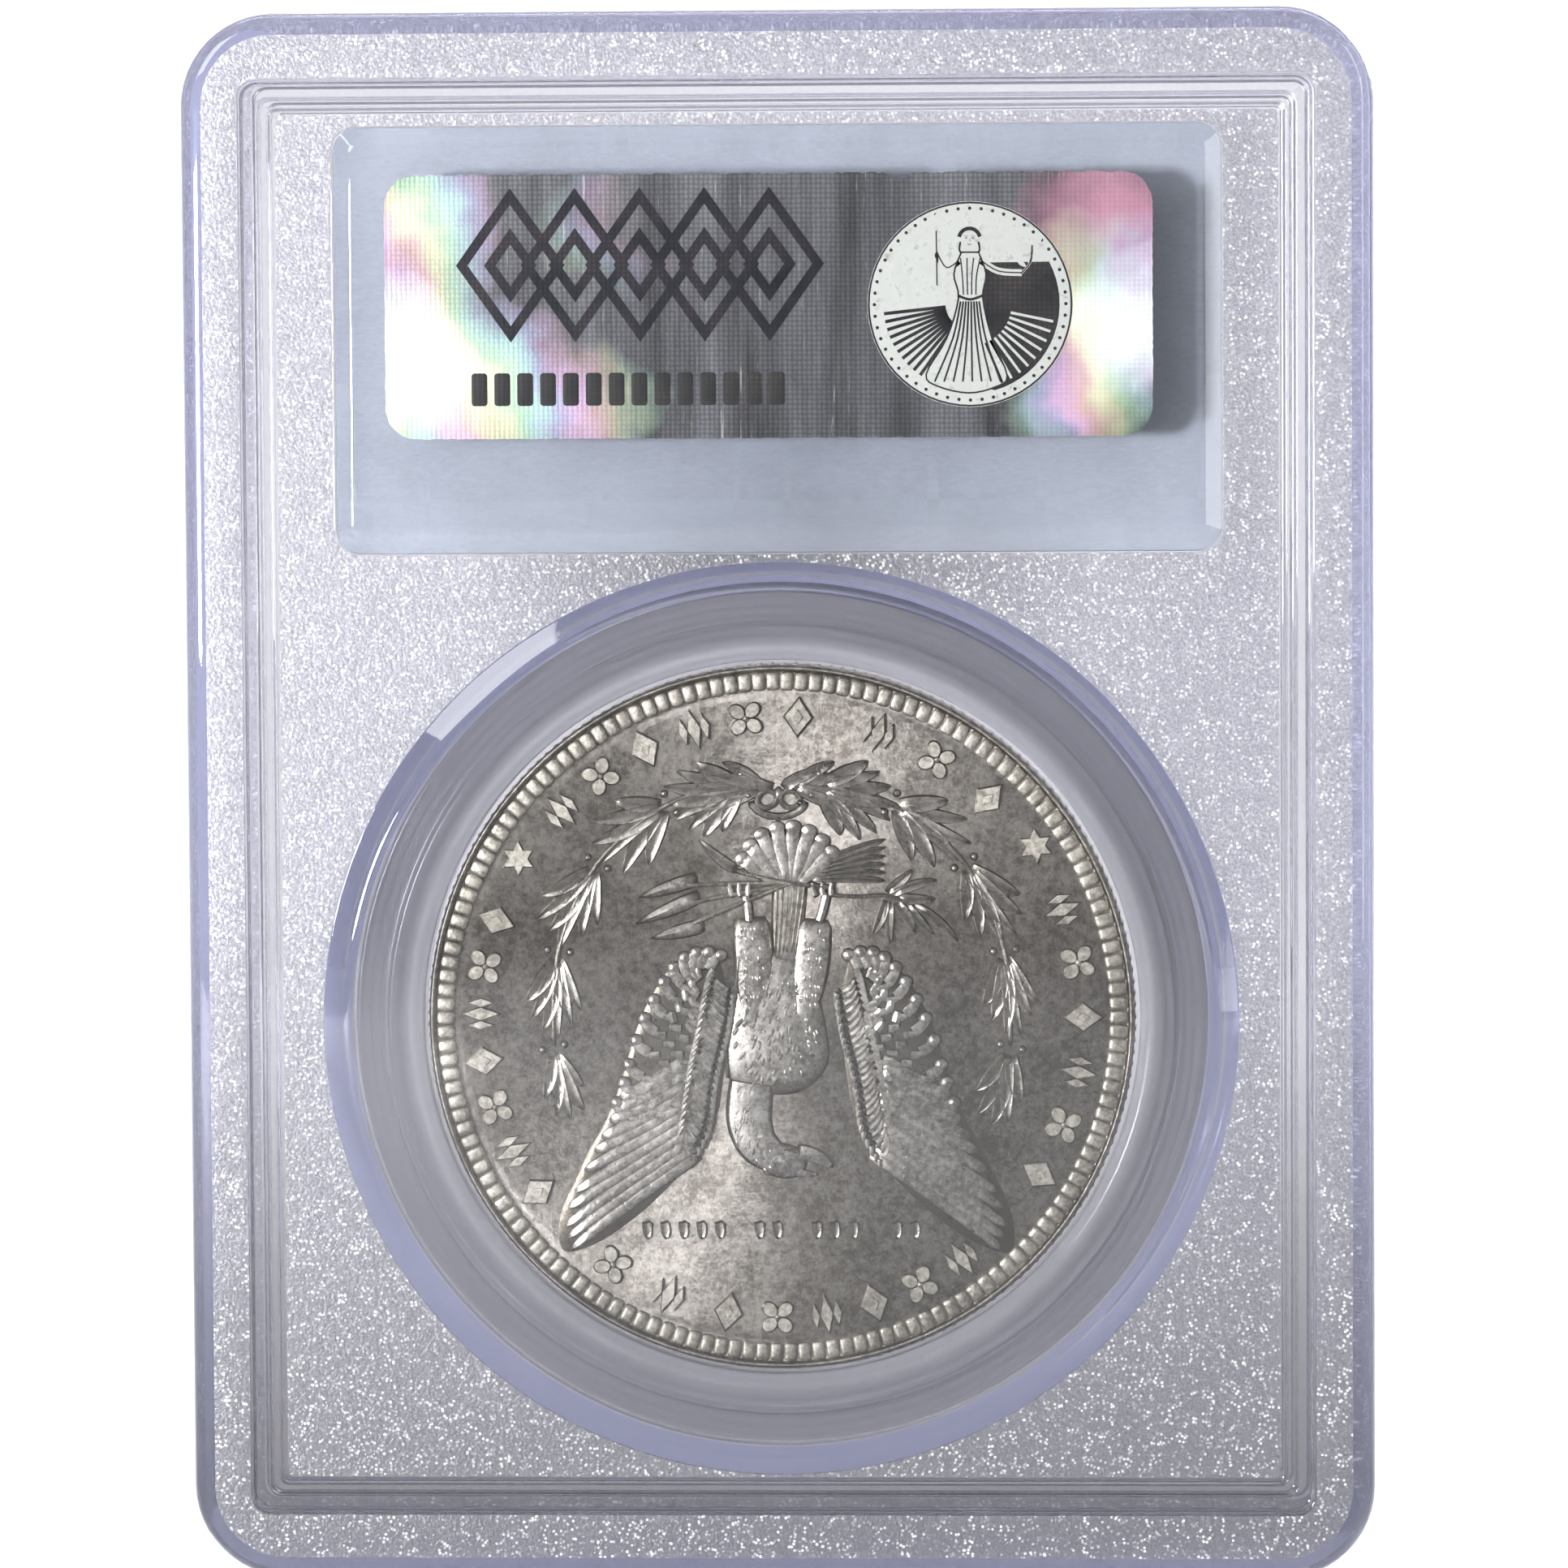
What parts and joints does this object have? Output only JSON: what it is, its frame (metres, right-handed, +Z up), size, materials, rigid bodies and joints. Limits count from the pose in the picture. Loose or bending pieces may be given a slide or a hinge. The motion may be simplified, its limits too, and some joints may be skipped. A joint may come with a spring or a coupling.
{
  "type": "graded coin slab",
  "caption": "Sealed clear holder with a raised stacking rim, a label window with a foil security seal and a round window over a large silver coin held in a clear ring.",
  "frame": {"origin": "middle of the bottom edge that the slab stands on", "axes": "+Z up the slab's height towards the label, +Y from the rear face, which carries the foil seal, to the front face, +X to the right as the rear face is looked at"},
  "size_m": [0.0636, 0.008, 0.084],
  "materials": {
    "clear_polystyrene": "clear, polished windows and a fine moulded stipple elsewhere",
    "clear_elastomer": "clear, soft satin",
    "struck_silver": "struck silver with cartwheel lustre",
    "label_paper": "uncoated card",
    "security_foil": "embossed diffraction foil, worn"
  },
  "bodies": {
    "root": {"rear_shell": "clear_polystyrene", "front_shell": "clear_polystyrene", "coin_gasket": "clear_elastomer", "coin": "struck_silver", "label_card": "label_paper", "hologram_seal": "security_foil"}
  },
  "joints": []
}
